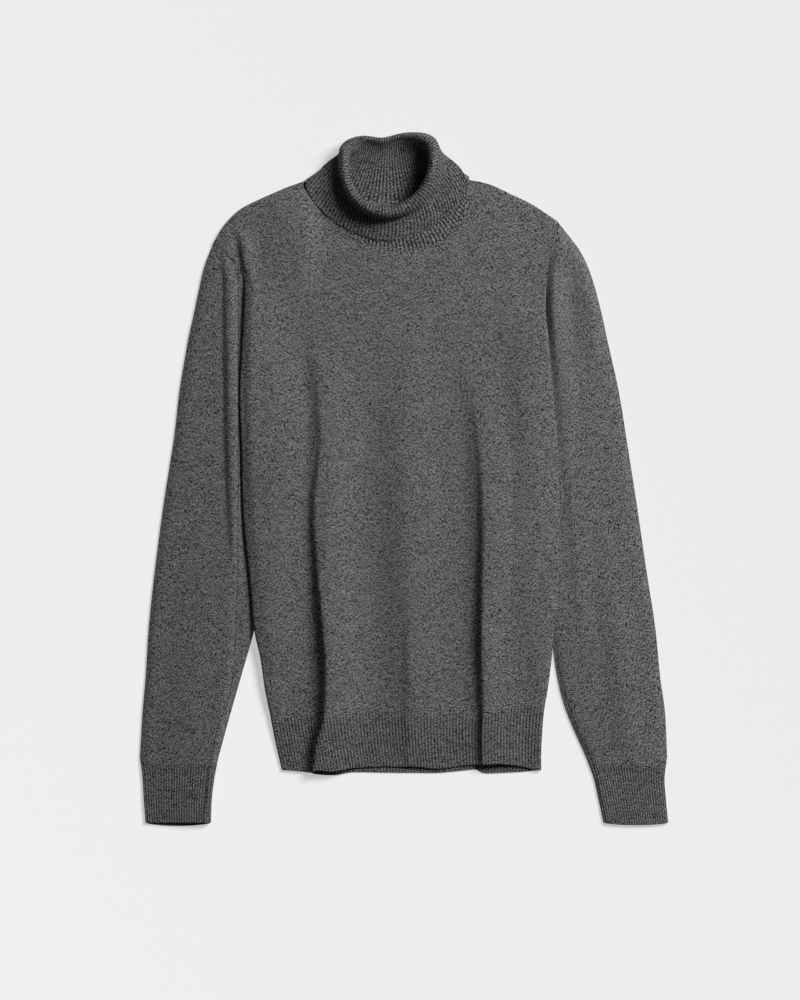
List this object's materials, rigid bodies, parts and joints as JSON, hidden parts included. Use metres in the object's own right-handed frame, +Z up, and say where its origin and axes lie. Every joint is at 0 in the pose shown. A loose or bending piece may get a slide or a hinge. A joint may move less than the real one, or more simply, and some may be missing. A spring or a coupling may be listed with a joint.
{
  "type": "turtleneck sweater",
  "caption": "Fine-knit long-sleeved turtleneck sweater laid flat, roll collar folded over and open, sleeves down beside the body, ribbed hem and cuffs.",
  "frame": {"origin": "centre of the laid sweater's outline, on the surface that it lies on", "axes": "+X to the right as seen from above, +Y from the hem towards the collar, +Z up from the surface, out of the front panel"},
  "size_m": [0.5912, 0.7714, 0.0379],
  "materials": {
    "jersey": "charcoal heather wool, fine plain knit, soft and matte with a slight fuzz",
    "rib": "charcoal heather wool, one-by-one rib, soft and matte"
  },
  "bodies": {
    "root": {"front": "jersey", "back": "jersey", "sleeve_left": "jersey", "sleeve_right": "jersey", "hem_front": "rib", "hem_back": "rib", "cuff_left": "rib", "cuff_right": "rib", "collar": "rib"}
  },
  "joints": []
}
